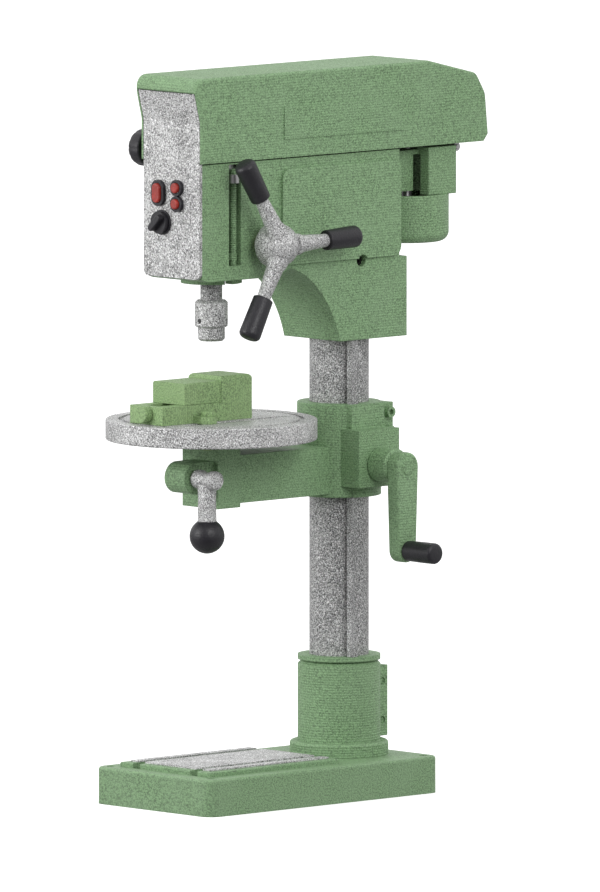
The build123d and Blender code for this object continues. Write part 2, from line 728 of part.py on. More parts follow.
with BuildPart() as quill:
    ring(quill_d / 2, bearing_d / 2 + seat, (0, spindle_y, quill_bottom), quill_length)
    ring(bearing_d / 2 + 1, spindle_d / 2 + 2, (0, spindle_y, quill_bottom + 25), quill_length - 50)
    spaces = round(quill_travel / tooth_pitch)
    rack_spaces(quill_pitch_y, feed_z, -3, spaces + 3, both(pinion_width / 2 + 1))
save(quill.part, "quill")

with BuildPart() as quill_bearings:
    for z in bearing_z:
        ring(bearing_d / 2, spindle_d / 2 + running, (0, spindle_y, z), bearing_width)
save(quill_bearings.part, "quill_bearings")

with BuildPart() as spindle:
    rod(spindle_d / 2, (0, spindle_y, chuck_top), spindle_top - chuck_top)
    rod(spindle_neck_d / 2, (0, spindle_y, chuck_top), bearing_z[0] - face_gap - chuck_top)
save(spindle.part, "spindle")

chuck_shoulder = chuck_top - chuck_collar_height
chuck_bottom = chuck_shoulder - chuck_sleeve_height
with BuildPart() as chuck_body:
    rod(chuck_collar_d / 2, (0, spindle_y, chuck_shoulder), chuck_collar_height)
    chamfer(chuck_body.faces().sort_by(Axis.Z)[-1].edges(), 3)
    chamfer(chuck_body.faces().sort_by(Axis.Z)[0].edges(), 2)
    for angle in (0, 120, 240):
        turn = radians(angle + 30)
        spot = (chuck_collar_d / 2 * cos(turn), spindle_y + chuck_collar_d / 2 * sin(turn), chuck_shoulder + 9)
        with Locations(Location(spot, (0, 0, angle + 30))):
            Cylinder(3.5, 16, rotation=(0, 90, 0), mode=Mode.SUBTRACT)
save(chuck_body.part, "chuck_body")

with BuildPart() as chuck_sleeve:
    ring(chuck_sleeve_d / 2, 12, (0, spindle_y, chuck_bottom), chuck_sleeve_height)
    chamfer(chuck_sleeve.faces().sort_by(Axis.Z)[0].edges().sort_by(SortBy.RADIUS)[-1], 3)
save(chuck_sleeve.part, "chuck_sleeve")

with BuildPart() as chuck_jaws:
    rod(12 - face_gap, (0, spindle_y, chuck_bottom + 1), chuck_sleeve_height - 1)
    rod(chuck_bore / 2, (0, spindle_y, chuck_bottom), chuck_sleeve_height + 1, mode=Mode.SUBTRACT)
    for angle in (0, 120, 240):
        with Locations(Location((0, spindle_y, chuck_bottom + 9), (0, 0, angle))):
            Box(30, 1.6, 24, align=(Align.MIN, Align.CENTER, Align.CENTER), mode=Mode.SUBTRACT)
save(chuck_jaws.part, "chuck_jaws")

# ---------------------------------------------------------------- depth stop
with BuildPart() as depth_rod:
    rod(5, (stop_x, stop_y, 736), 142)
    block((quill_d / 2 - 1.5, stop_x), (stop_y - 5, stop_y + 5), (752, 762))
    rod(quill_d / 2 + seat, (0, spindle_y, 745), 24, mode=Mode.SUBTRACT)
save(depth_rod.part, "depth_rod")

with BuildPart() as depth_nut:
    ring(8.5, 5 + running, (stop_x, stop_y, 858), 12)
save(depth_nut.part, "depth_nut")

# ---------------------------------------------------------------- feed star
hub_x = (body_width / 2 + 2, body_width / 2 + star_length)
grip_length = 60.0
with BuildPart() as feed_pinion:
    pinion(feed_y, feed_z, both(pinion_width / 2))
    rod(feed_shaft_d / 2, (-body_width / 2 - 18, feed_y, feed_z), body_width / 2 + 18 + feed_shaft_end, along_x)
save(feed_pinion.part, "feed_pinion")

with BuildPart() as feed_bushes:
    for x in (-body_width / 2, body_width / 2 - head_wall - 4):
        ring(feed_shaft_d / 2 + 4 - seat, feed_shaft_d / 2 + running, (x, feed_y, feed_z), head_wall + 4, along_x)
save(feed_bushes.part, "feed_bushes")

with BuildPart() as feed_hub:
    rod(20, (hub_x[0], feed_y, feed_z), 20, along_x)
    rod(star_hub_d / 2, (hub_x[0] + 14, feed_y, feed_z), hub_x[1] - hub_x[0] - 14, along_x)
    fillet(feed_hub.faces().sort_by(Axis.X)[-1].edges(), 14)
    bore = feed_shaft_end - hub_x[0] + 1.5
    rod(feed_shaft_d / 2 + seat, (hub_x[0] - 1, feed_y, feed_z), bore, along_x, Mode.SUBTRACT)
save(feed_hub.part, "feed_hub")

with BuildPart() as feed_arms:
    for angle in (0, 120, 240):
        turn = Location((star_x, feed_y, feed_z), (star_first_arm + angle, 0, 0)) * Location((0, 0, 0), along_y)
        with Locations(turn * Location((0, 0, star_hub_d / 2 - 1.5))):
            Cone(12, 9, star_reach - grip_length + 8 - star_hub_d / 2, align=(Align.CENTER, Align.CENTER, Align.MIN))
    rod(star_hub_d / 2 + seat, (hub_x[0], feed_y, feed_z), star_length, along_x, Mode.SUBTRACT)
save(feed_arms.part, "feed_arms")

with BuildPart() as feed_grips:
    for angle in (0, 120, 240):
        turn = Location((star_x, feed_y, feed_z), (star_first_arm + angle, 0, 0)) * Location((0, 0, 0), along_y)
        with Locations(turn * Location((0, 0, star_reach - grip_length))):
            Cylinder(grip_d / 2, grip_length, align=(Align.CENTER, Align.CENTER, Align.MIN))
    fillet(feed_grips.edges().filter_by(GeomType.CIRCLE), 5)
    for angle in (0, 120, 240):
        turn = Location((star_x, feed_y, feed_z), (star_first_arm + angle, 0, 0)) * Location((0, 0, 0), along_y)
        with Locations(turn * Location((0, 0, star_hub_d / 2 - 1.5))):
            Cone(12 + seat, 9 + seat, star_reach - grip_length + 8 - star_hub_d / 2,
                 align=(Align.CENTER, Align.CENTER, Align.MIN), mode=Mode.SUBTRACT)
save(feed_grips.part, "feed_grips")

with BuildPart() as spring_cap:
    rod(28, (-body_width / 2 - 26, feed_y, feed_z), 26, along_x)
    fillet(spring_cap.faces().sort_by(Axis.X)[0].edges(), 4)
    rod(24, (-body_width / 2 - 22, feed_y, feed_z), 23, along_x, Mode.SUBTRACT)
save(spring_cap.part, "spring_cap")

with BuildPart() as return_spring:
    ring(24 - seat, feed_shaft_d / 2 + face_gap, (-body_width / 2 - 18, feed_y, feed_z), 12, along_x)
save(return_spring.part, "return_spring")

# ---------------------------------------------------------------- rack that swings with the table
rack_bottom = socket_top + 0.3 + ring_height
rack_top = clamp_bottom - 0.6
rack_back = -pitch_radius + rack_addendum - rack_thick
with BuildPart() as rack_ring:
    ring(socket_d / 2, column_bore_r, (0, 0, socket_top + 0.3), ring_height)
save(rack_ring.part, "rack_ring")

with BuildPart() as lift_rack:
    block(rack_x, (rack_back, rack_face), (rack_bottom, rack_top))
    rod(column_bore_r + 0.2, (0, 0, rack_bottom - 1), rack_top - rack_bottom + 2, mode=Mode.SUBTRACT)
    below = int((lift_z - rack_bottom) / tooth_pitch) - 1
    above = int(lift_up / tooth_pitch) + 4
    rack_spaces(-pitch_radius, lift_z, -below, above, (rack_x[0] - 2, rack_x[1] + 1))
save(lift_rack.part, "lift_rack")

# ---------------------------------------------------------------- table bracket
collar_top = collar_bottom + collar_height
block_top = table_bottom - face_gap
spigot_bottom = block_top - 76
pinion_x = (column_d / 2 + 0.8, rack_x[1] + 1)
bush_x = (pinion_x[1] + 2, gearbox_reach)
gearbox_z = (lift_z - 31, lift_z + gearbox_height - 31)
clamp_screw_y = column_d / 2 + 12
clamp_lug_reach = column_d / 2 + 23
clamp_lug_x = (-42, 40)
with BuildPart() as table_bracket:
    rod(collar_d / 2, (0, 0, collar_bottom), collar_height)
    fillet(table_bracket.edges().filter_by(GeomType.CIRCLE), 2)
    block((10, gearbox_reach), both(gearbox_width / 2), gearbox_z)
    block(clamp_lug_x, (0, clamp_lug_reach), (collar_top - 56, collar_top - 3))
    block((0, rack_x[1] + 6.4), both(31), (collar_top - 40, collar_top))
    block(both(arm_width / 2), (spindle_y + 20, -40), (arm_bottom, arm_top))
    block(both(block_width / 2), (spindle_y - block_length / 2, spindle_y + block_length / 2), (block_bottom, block_top))
    block(lock_x, (lock_y, spindle_y - 20), (lock_z - lock_boss_d / 2, lock_z + lock_boss_d / 2))
    rod(lock_boss_d / 2, (lock_x[0], lock_y, lock_z), lock_x[1] - lock_x[0], along_x)
    rod(column_bore_r, (0, 0, collar_bottom - 1), collar_height + 2, mode=Mode.SUBTRACT)
    block((rack_x[0] - 3, rack_x[1] + 0.6), (rack_back - 0.6, rack_face + 4), (collar_bottom - 1, collar_top + 1), Mode.SUBTRACT)
    rod(pitch_radius + 4, (column_d / 2 - 2, 0, lift_z), bush_x[0] - column_d / 2 + 2, along_x, Mode.SUBTRACT)
    rod(13, (bush_x[0] - 1, 0, lift_z), 60, along_x, Mode.SUBTRACT)
    rod(table_spigot_d / 2 + running, (0, spindle_y, spigot_bottom - 1), 200, mode=Mode.SUBTRACT)
    rod(6 + running, (lock_x[0] - 1, lock_y, lock_z), 60, along_x, Mode.SUBTRACT)
    block(both(2), (column_d / 2 - 11, clamp_lug_reach + 2), (collar_top - 60, collar_top + 1), Mode.SUBTRACT)
    for z in (collar_top - 42, collar_top - 16):
        rod(5 + seat, (-43, clamp_screw_y, z), 86, along_x, Mode.SUBTRACT)
save(table_bracket.part, "table_bracket")

with BuildPart() as collar_clamp_screws:
    for z in (collar_top - 42, collar_top - 16):
        cap_screw(10, 15, 9, (clamp_lug_x[1], clamp_screw_y, z), 84, (0, -90, 0))
save(collar_clamp_screws.part, "collar_clamp_screws")

with BuildPart() as crank_bush:
    ring(13 - seat, feed_shaft_d / 2 + running, (bush_x[0], 0, lift_z), bush_x[1] - bush_x[0], along_x)
save(crank_bush.part, "crank_bush")

with BuildPart() as crank_shaft:
    pinion(0, lift_z, pinion_x)
    rod(feed_shaft_d / 2, (pinion_x[0], 0, lift_z), crank_arm_x + crank_arm_thick - pinion_x[0], along_x)
save(crank_shaft.part, "crank_shaft")

grip_z = lift_z - crank_throw
with BuildPart() as crank_arm:
    rod(crank_hub_d / 2, (gearbox_reach + face_gap, 0, lift_z), crank_arm_x - gearbox_reach, along_x)
    with BuildSketch(Plane.YZ.offset(crank_arm_x)):
        with Locations((0, lift_z)):
            Circle(20.5)
        with Locations((0, grip_z)):
            Circle(16.5)
        make_hull()
    extrude(amount=crank_arm_thick)
    fillet(crank_arm.faces().sort_by(Axis.X)[-1].edges(), 3)
    rod(feed_shaft_d / 2 + seat, (gearbox_reach, 0, lift_z), 80, along_x, Mode.SUBTRACT)
    rod(6 + seat, (crank_arm_x - 1, 0, grip_z), 40, along_x, Mode.SUBTRACT)
save(crank_arm.part, "crank_arm")

grip_x = crank_arm_x + crank_arm_thick + face_gap
with BuildPart() as crank_pin:
    rod(6, (crank_arm_x + 2, 0, grip_z), crank_arm_thick + crank_grip_length - 8, along_x)
save(crank_pin.part, "crank_pin")

with BuildPart() as crank_grip:
    rod(crank_grip_d / 2, (grip_x, 0, grip_z), crank_grip_length, along_x)
    fillet(crank_grip.edges().filter_by(GeomType.CIRCLE), 3)
    rod(6 + running, (grip_x - 1, 0, grip_z), crank_grip_length - 4, along_x, Mode.SUBTRACT)
save(crank_grip.part, "crank_grip")

# ---------------------------------------------------------------- table lock lever
lever_x = lock_x[1] + face_gap
ball_x = lever_x + lock_hub_length / 2
with BuildPart() as lock_lever:
    rod(lock_hub_d / 2, (lever_x, lock_y, lock_z), lock_hub_length, along_x)
    fillet(lock_lever.edges().filter_by(GeomType.CIRCLE), 3)
    rod(6, (lock_x[0] - 4, lock_y, lock_z), lever_x - lock_x[0] + 6, along_x)
    cone(*lock_arm_r, (ball_x, lock_y, lock_z - lock_drop + 10), lock_drop - 14)
save(lock_lever.part, "lock_lever")

with BuildPart() as lock_ball:
    with Locations((ball_x, lock_y, lock_z - lock_drop)):
        Sphere(lock_ball_d / 2)
    arm_bore = tuple(r + seat for r in lock_arm_r)
    rod(arm_bore[0], (ball_x, lock_y, lock_z - lock_drop + 10), 40, mode=Mode.SUBTRACT)
    cone(*arm_bore, (ball_x, lock_y, lock_z - lock_drop + 10), lock_drop - 14, mode=Mode.SUBTRACT)
save(lock_ball.part, "lock_ball")

# ---------------------------------------------------------------- round table
table_slot_x = 48.0
table_slot_reach = groove_radius - 29
with BuildPart() as round_table:
    rod(table_d / 2, (0, spindle_y, table_bottom), table_rim)
    fillet(round_table.edges().filter_by(GeomType.CIRCLE), 2)
    rod(table_spigot_d / 2, (0, spindle_y, spigot_bottom), table_bottom - spigot_bottom + 1)
    with BuildSketch(Plane.XY.offset(table_top)):
        with Locations((0, spindle_y)):
            Circle(groove_radius + groove_width / 2)
            Circle(groove_radius - groove_width / 2, mode=Mode.SUBTRACT)
    extrude(amount=-3, mode=Mode.SUBTRACT)
    for x in (-table_slot_x, table_slot_x):
        with BuildSketch(Plane.XY.offset(table_bottom - 1)):
            with Locations((x, spindle_y)):
                SlotOverall(2 * table_slot_reach, table_slot_width, rotation=90)
        extrude(amount=table_rim + 2, mode=Mode.SUBTRACT)
save(round_table.part, "round_table")

# ---------------------------------------------------------------- drill vise
bed_top = table_top + vise_bed
screw_z = table_top + vise_screw_height
channel_half = 13.0
lug_y = spindle_y - table_slot_reach + 43
with BuildPart() as vise_body:
    block(both(vise_width / 2), (-vise_front, -vise_back), (table_top, bed_top))
    block(both(vise_width / 2), (jaw_y, -vise_back), (table_top, table_top + fixed_jaw_height))
    fillet(vise_body.faces().sort_by(Axis.Z)[-1].edges(), 6)
    for side in (-1, 1):
        lug_x = sorted((side * (vise_width / 2 - 2), side * table_slot_x))
        block(lug_x, (lug_y - 13, lug_y + 13), (table_top, table_top + 10))
        rod(13, (side * table_slot_x, lug_y, table_top), 10)
        rod(5 + seat, (side * table_slot_x, lug_y, table_top - 1), 12, mode=Mode.SUBTRACT)
    block(both(channel_half), (-vise_front + 12, jaw_y), (table_top + 5, bed_top + 1), Mode.SUBTRACT)
    rod(vise_screw_d / 2 + running, (0, -vise_front - 1, screw_z), 14, along_y, Mode.SUBTRACT)
save(vise_body.part, "vise_body")

with BuildPart() as vise_moving_jaw:
    jaw_span = (jaw_y - face_gap - moving_jaw_length, jaw_y - face_gap)
    block(both(vise_width / 2 - 1), jaw_span, (bed_top + face_gap, table_top + moving_jaw_height))
    fillet(vise_moving_jaw.edges().filter_by(Axis.Y).group_by(Axis.Z)[-1], 4)
    tongue = (jaw_span[0] + 14, jaw_span[1] - 20)
    block(both(channel_half - face_gap), tongue, (table_top + 5 + face_gap, bed_top + 1))
    rod(vise_screw_d / 2 + running, (0, tongue[0] - 1, screw_z), tongue[1] - tongue[0] + 2, along_y, Mode.SUBTRACT)
save(vise_moving_jaw.part, "vise_moving_jaw")

with BuildPart() as vise_screw:
    rod(vise_screw_d / 2, (0, -vise_front - 12, screw_z), vise_front + jaw_y + 10, along_y)
    rod(12, (0, -vise_front - 12, screw_z), 12 - face_gap, along_y)
    fillet(vise_screw.faces().sort_by(Axis.Y)[0].edges(), 2)
save(vise_screw.part, "vise_screw")

with BuildPart() as vise_bolts:
    for side in (-1, 1):
        x = side * table_slot_x
        rod(5, (x, lug_y, table_bottom - 9), table_rim + 20)
        hexagon(16, (x, lug_y, table_top + 10), 7)
        hexagon(16, (x, lug_y, table_bottom - 8), 8)
save(vise_bolts.part, "vise_bolts")
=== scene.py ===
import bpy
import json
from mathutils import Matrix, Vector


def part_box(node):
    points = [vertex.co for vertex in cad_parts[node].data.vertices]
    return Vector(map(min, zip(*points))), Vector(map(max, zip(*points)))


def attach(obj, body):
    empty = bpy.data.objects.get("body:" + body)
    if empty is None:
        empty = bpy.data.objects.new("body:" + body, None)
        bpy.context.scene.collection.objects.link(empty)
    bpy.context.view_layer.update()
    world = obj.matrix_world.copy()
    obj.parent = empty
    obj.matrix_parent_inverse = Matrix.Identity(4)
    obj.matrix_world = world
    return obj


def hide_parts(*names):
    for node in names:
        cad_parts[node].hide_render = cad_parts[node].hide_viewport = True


bl_info = {
    "name": "Pillar drill finish",
    "version": (1, 0, 0),
    "blender": (4, 5, 0),
    "location": "View3D > Sidebar > Pillar Drill",
    "description": "Paints a bench pillar drill and adds its hand-worked pieces",
    "category": "Object",
}

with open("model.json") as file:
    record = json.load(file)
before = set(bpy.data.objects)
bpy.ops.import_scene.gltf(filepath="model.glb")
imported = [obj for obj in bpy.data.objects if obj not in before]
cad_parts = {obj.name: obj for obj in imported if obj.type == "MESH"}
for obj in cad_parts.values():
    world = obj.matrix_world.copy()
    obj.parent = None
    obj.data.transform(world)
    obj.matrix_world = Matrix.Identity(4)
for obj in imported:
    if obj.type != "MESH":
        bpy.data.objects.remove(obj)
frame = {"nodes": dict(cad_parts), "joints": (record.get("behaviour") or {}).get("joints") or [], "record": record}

import json
from math import cos, pi, radians, sin

import bmesh
import bpy
from bpy.props import FloatProperty, FloatVectorProperty, IntProperty, PointerProperty
from mathutils import Matrix, Vector

JOINTS = {joint["name"]: joint for joint in frame["joints"]}
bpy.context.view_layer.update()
MM = 0.001
ALONG = {
    "X": Matrix.Rotation(radians(90), 4, "Y"),
    "Y": Matrix.Rotation(radians(-90), 4, "X"),
    "Z": Matrix.Identity(4),
    "-Y": Matrix.Rotation(radians(90), 4, "X"),
    "-Z": Matrix.Rotation(radians(180), 4, "X"),
    "-X": Matrix.Rotation(radians(-90), 4, "Y"),
}


# ------------------------------------------------------------------ settings
def colour_setting(name, description, default):
    return FloatVectorProperty(
        name=name, description=description, subtype="COLOR", size=3, min=0, max=1, default=default)


def length_setting(name, description, default):
    return FloatProperty(name=name, description=description, unit="LENGTH", default=default, min=0.1 * MM)


class DrillColours(bpy.types.PropertyGroup):
    """Colours of the finishes."""

    enamel: colour_setting("Enamel", "Sage green of the castings", (0.212, 0.356, 0.178))
    vise_enamel: colour_setting("Vise enamel", "Yellower green of the drill vise", (0.270, 0.420, 0.180))
    silver: colour_setting("Silver", "Metal paint of the column, table and panel", (0.50, 0.50, 0.50))
    black: colour_setting("Black", "Grips and knobs", (0.009, 0.008, 0.012))
    red: colour_setting("Red", "Push-buttons", (0.28, 0.022, 0.014))


class DrillSizes(bpy.types.PropertyGroup):
    """Sizes of the pieces that are made here."""

    grain: length_setting("Grain", "Size of the grain of the finish", 2.1 * MM)
    grain_depth: length_setting("Grain depth", "Height of the grain", 0.9 * MM)
    grip_radius: length_setting("Grip radius", "Radius of the feed grips", 15.2 * MM)
    thread_pitch: length_setting("Thread pitch", "Pitch of the depth rod's thread", 3.0 * MM)
    view_distance: length_setting("View distance", "Camera to machine", 30.0)
    knob_flutes: IntProperty(
        name="Knob flutes", description="Flutes round the hood's latch knob", default=12, min=3)
    view_azimuth: FloatProperty(
        name="View azimuth", description="Angle of the camera round the machine", subtype="ANGLE",
        default=radians(46.8))
    view_elevation: FloatProperty(
        name="View elevation", description="Height angle of the camera", subtype="ANGLE",
        default=radians(5.9))


# ------------------------------------------------------------------ shader building blocks
def new_material(name):
    """A material with object coordinates and a Principled shader."""
    material = bpy.data.materials.new(name)
    material.use_nodes = True
    tree = material.node_tree
    shader = tree.nodes["Principled BSDF"]
    coords = tree.nodes.new("ShaderNodeTexCoord").outputs["Object"]
    return material, tree, shader, coords


def noise(tree, coords, scale, detail=2.0, rough=0.5):
    node = tree.nodes.new("ShaderNodeTexNoise")
    node.inputs["Scale"].default_value = scale
    node.inputs["Detail"].default_value = detail
    node.inputs["Roughness"].default_value = rough
    tree.links.new(coords, node.inputs["Vector"])
    return node.outputs["Fac"]


def bands(tree, coords, scale, direction, distortion):
    node = tree.nodes.new("ShaderNodeTexWave")
    node.wave_type = "BANDS"
    node.bands_direction = direction
    node.inputs["Scale"].default_value = scale
    node.inputs["Distortion"].default_value = distortion
    node.inputs["Detail"].default_value = 2.0
    node.inputs["Detail Scale"].default_value = 2.0
    tree.links.new(coords, node.inputs["Vector"])
    return node.outputs["Fac"]


def spread(tree, value, low, high, to_low, to_high):
    """Maps one span of a value onto another."""
    node = tree.nodes.new("ShaderNodeMapRange")
    for socket, number in zip(node.inputs[1:5], (low, high, to_low, to_high)):
        socket.default_value = number
    tree.links.new(value, node.inputs["Value"])
    return node.outputs["Result"]


def blend_colours(tree, amount, first, second):
    """Mixes two colours, each a tuple or a socket."""
    node = tree.nodes.new("ShaderNodeMix")
    node.data_type = "RGBA"
    tree.links.new(amount, node.inputs["Factor"])
    for socket, colour in ((node.inputs[6], first), (node.inputs[7], second)):
        if isinstance(colour, tuple):
            socket.default_value = (*colour, 1.0)
        else:
            tree.links.new(colour, socket)
    return node.outputs[2]


def raise_surface(tree, height, distance, under=None):
    node = tree.nodes.new("ShaderNodeBump")
    node.inputs["Strength"].default_value = 1.0
    node.inputs["Distance"].default_value = distance
    tree.links.new(height, node.inputs["Height"])
    if under is not None:
        tree.links.new(under, node.inputs["Normal"])
    return node.outputs["Normal"]


def soft_edges(tree, radius):
    node = tree.nodes.new("ShaderNodeBevel")
    node.samples = 4
    node.inputs["Radius"].default_value = radius
    return node.outputs["Normal"]


def shade(colour, factor):
    return tuple(min(1.0, channel * factor) for channel in colour)


def enamel_colour(tree, coords, colour, grain_scale):
    """Enamel over a grainy casting, with painted shade in the grain's hollows, a painted highlight on its high
    spots and slow changes of tone.
    """
    grain = noise(tree, coords, grain_scale, 3.0, 0.65)
    slow = noise(tree, coords, 16.0, 3.0)
    # painted shade and highlight: the grain that raises the bump is painted 0.40 times darker where low and 1.24
    # times paler where high
    grain_light_mask = spread(tree, grain, 0.36, 0.58, 0.0, 1.0)
    grain_shaded_and_highlit = blend_colours(tree, grain_light_mask, shade(colour, 0.40), shade(colour, 1.24))
    tone = spread(tree, slow, 0.35, 0.65, 0.0, 0.30)
    faded = shade((colour[0] * 1.1, colour[1], colour[2] * 1.15), 1.12)
    return grain, blend_colours(tree, tone, grain_shaded_and_highlit, faded)


def sparkle_colour(tree, coords, colour, grain_scale):
    """Metal paint whose flakes vary from dark to bright from one grain to the next; the brightest flakes are
    painted glints, up to 2.6 times the colour.
    """
    flakes = noise(tree, coords, grain_scale * 1.1, 2.0, 0.9)
    patches = noise(tree, coords, 26.0, 3.0)
    patchy = spread(tree, patches, 0.36, 0.64, 0.0, 1.0)
    tone = blend_colours(tree, patchy, shade(colour, 0.78), shade(colour, 1.15))
    dark = spread(tree, flakes, 0.37, 0.48, 0.0, 1.0)
    # painted glints: the brightest flakes are painted 2.6 times the colour
    bright = spread(tree, flakes, 0.54, 0.62, 0.0, 1.0)
    low = blend_colours(tree, dark, shade(colour, 0.08), tone)
    return flakes, blend_colours(tree, bright, low, shade(colour, 2.6))


WEAVE_SCALE = 88.0


def enamel(name, colour, sizes, striped=None):
    material, tree, shader, coords = new_material(name)
    grain_scale = 1.0 / sizes.grain
    grain, painted = enamel_colour(tree, coords, tuple(colour), grain_scale)
    weave = bands(tree, coords, WEAVE_SCALE, striped or "Z", 1.6)
    weave_share = spread(tree, weave, 0.0, 1.0, 0.0, 0.35 if striped else 0.2)
    painted = blend_colours(tree, weave_share, painted, shade(tuple(colour), 0.72))
    normal = soft_edges(tree, 1.6 * MM)
    normal = raise_surface(tree, weave, sizes.grain_depth * (0.9 if striped else 0.35), normal)
    normal = raise_surface(tree, grain, sizes.grain_depth * 1.3, normal)
    tree.links.new(painted, shader.inputs["Base Color"])
    tree.links.new(spread(tree, grain, 0.3, 0.7, 0.62, 0.46), shader.inputs["Roughness"])
    tree.links.new(normal, shader.inputs["Normal"])
    return material


def silver_paint(name, colour, sizes):
    material, tree, shader, coords = new_material(name)
    flakes, painted = sparkle_colour(tree, coords, tuple(colour), 1.0 / sizes.grain)
    normal = raise_surface(tree, flakes, sizes.grain_depth * 1.5, soft_edges(tree, 1.2 * MM))
    shader.inputs["Metallic"].default_value = 0.45
    tree.links.new(painted, shader.inputs["Base Color"])
    tree.links.new(spread(tree, flakes, 0.35, 0.65, 0.55, 0.30), shader.inputs["Roughness"])
    tree.links.new(normal, shader.inputs["Normal"])
    return material


def base_enamel(name, colours, sizes):
    """Enamel everywhere but on the machined land, which stands above the pad."""
    material, tree, shader, coords = new_material(name)
    grain_scale = 1.0 / sizes.grain
    grain, painted = enamel_colour(tree, coords, shade(tuple(colours.enamel), 0.92), grain_scale)
    flakes, metal = sparkle_colour(tree, coords, tuple(colours.silver), grain_scale)
    split = tree.nodes.new("ShaderNodeSeparateXYZ")
    tree.links.new(coords, split.inputs["Vector"])
    land_height = 2.2 * MM
    border = 0.2 * MM
    land_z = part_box("base_plate")[1][2] - land_height
    mask = spread(tree, split.outputs["Z"], land_z, land_z + border, 0.0, 1.0)
    tree.links.new(blend_colours(tree, mask, painted, metal), shader.inputs["Base Color"])
    tree.links.new(spread(tree, mask, 0.0, 1.0, 0.0, 0.45), shader.inputs["Metallic"])
    shader.inputs["Roughness"].default_value = 0.5
    normal = raise_surface(tree, grain, sizes.grain_depth * 1.2, soft_edges(tree, 1.8 * MM))
    tree.links.new(normal, shader.inputs["Normal"])
    return material


def turned_steel(name):
    """Turned and ground steel with fine tool rings and a little haze."""
    material, tree, shader, coords = new_material(name)
    rings = bands(tree, coords, 260.0, "Z", 0.8)
    haze = noise(tree, coords, 60.0, 4.0)
    colour = blend_colours(tree, haze, (0.30, 0.30, 0.31), (0.58, 0.58, 0.57))
    shader.inputs["Metallic"].default_value = 0.9
    tree.links.new(colour, shader.inputs["Base Color"])
    tree.links.new(spread(tree, haze, 0.3, 0.7, 0.26, 0.44), shader.inputs["Roughness"])
    tree.links.new(raise_surface(tree, rings, 0.05 * MM, soft_edges(tree, 0.6 * MM)), shader.inputs["Normal"])
    return material


def moulding(name, colour, sizes, rough=(0.34, 0.52), grain_share=0.6):
    """Moulded plastic with a faint grain and scuffed high spots."""
    material, tree, shader, coords = new_material(name)
    grain = noise(tree, coords, 1.0 / sizes.grain, 2.0)
    scuffs = noise(tree, coords, 95.0, 4.0, 0.7)
    high = spread(tree, scuffs, 0.52, 0.72, 0.0, 0.7)
    scuffed = blend_colours(tree, high, tuple(colour), shade(tuple(colour), 1.7))
    tree.links.new(scuffed, shader.inputs["Base Color"])
    tree.links.new(spread(tree, grain, 0.3, 0.7, *rough), shader.inputs["Roughness"])
    normal = raise_surface(tree, grain, sizes.grain_depth * grain_share, soft_edges(tree, 0.8 * MM))
    tree.links.new(normal, shader.inputs["Normal"])
    return material


def plain_stuff(name, low, high, metallic, rough, scale):
    """A mottled material for what is seldom seen: rubber, bronze and laminations."""
    material, tree, shader, coords = new_material(name)
    mottle = noise(tree, coords, scale, 4.0)
    shader.inputs["Metallic"].default_value = metallic
    tree.links.new(blend_colours(tree, mottle, low, high), shader.inputs["Base Color"])
    tree.links.new(spread(tree, mottle, 0.3, 0.7, rough - 0.08, rough + 0.08), shader.inputs["Roughness"])
    tree.links.new(raise_surface(tree, mottle, 0.15 * MM), shader.inputs["Normal"])
    return material


FINISH_OF = {
    "green_paint": "sage_enamel",
    "vise_paint": "vise_enamel",
    "machined_silver": "silver_paint",
    "steel": "turned_steel",
    "black_plastic": "black_moulding",
    "red_plastic": "red_moulding",
    "belt_rubber": "rubber",
    "bronze": "cast_bronze",
    "stator_iron": "laminations",
}


OWN_FINISH = {
    "base_plate": "base_enamel",
    # the column, lift rack and spindle take the silver paint darkened to 0.66 as painted shade
    "column": "shaded_silver",
    "lift_rack": "shaded_silver",
    "spindle": "shaded_silver",
    "head_set_screw": "blackened_steel",
    "socket_screws": "sage_enamel",
    "collar_clamp_screws": "sage_enamel",
    "motor_mount_screws": "sage_enamel",
}


def finish(slot_name):
    return bpy.data.materials[FINISH_OF[slot_name]]


# ------------------------------------------------------------------ mesh building blocks
def finished_piece(name, mesh, body, slot_name, replaced=(), sharp=40):
    """Turns a bmesh into an object that rides on a body and takes a finish."""
    bmesh.ops.remove_doubles(mesh, verts=mesh.verts, dist=1e-6)
    bmesh.ops.recalc_face_normals(mesh, faces=mesh.faces)
    data = bpy.data.meshes.new(name)
    mesh.to_mesh(data)
    mesh.free()
    data.shade_smooth()
    data.set_sharp_from_angle(angle=radians(sharp))
    piece = bpy.data.objects.new(name, data)
    bpy.context.scene.collection.objects.link(piece)
    data.materials.append(finish(slot_name))
    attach(piece, body)
    if replaced:
        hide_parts(*replaced)
    return piece


def lathe(mesh, profile, place, steps=64):
    """Spins a profile of (radius, height) about Z, then puts it in its place."""
    points = [mesh.verts.new((radius, 0.0, height)) for radius, height in profile]
    edges = [mesh.edges.new(pair) for pair in zip(points, points[1:])]
    spun = bmesh.ops.spin(
        mesh, geom=points + edges, cent=(0, 0, 0), axis=(0, 0, 1), angle=2 * pi, steps=steps, use_merge=True)
    fresh = {vert for vert in spun["geom_last"] if isinstance(vert, bmesh.types.BMVert)} | set(points)
    whole, queue = set(fresh), list(fresh)
    while queue:
        for edge in queue.pop().link_edges:
            for vert in edge.verts:
                if vert not in whole:
                    whole.add(vert)
                    queue.append(vert)
    bmesh.ops.transform(mesh, matrix=place, verts=list(whole))
    return list(whole)


def arc(radius, centre_r, centre_z, start, end, steps=6):
    """Points of a quarter-like arc in a lathe profile, angles in degrees from +r towards +z."""
    return [
        (centre_r + radius * cos(radians(start + (end - start) * k / steps)),
         centre_z + radius * sin(radians(start + (end - start) * k / steps)))
        for k in range(steps + 1)
    ]


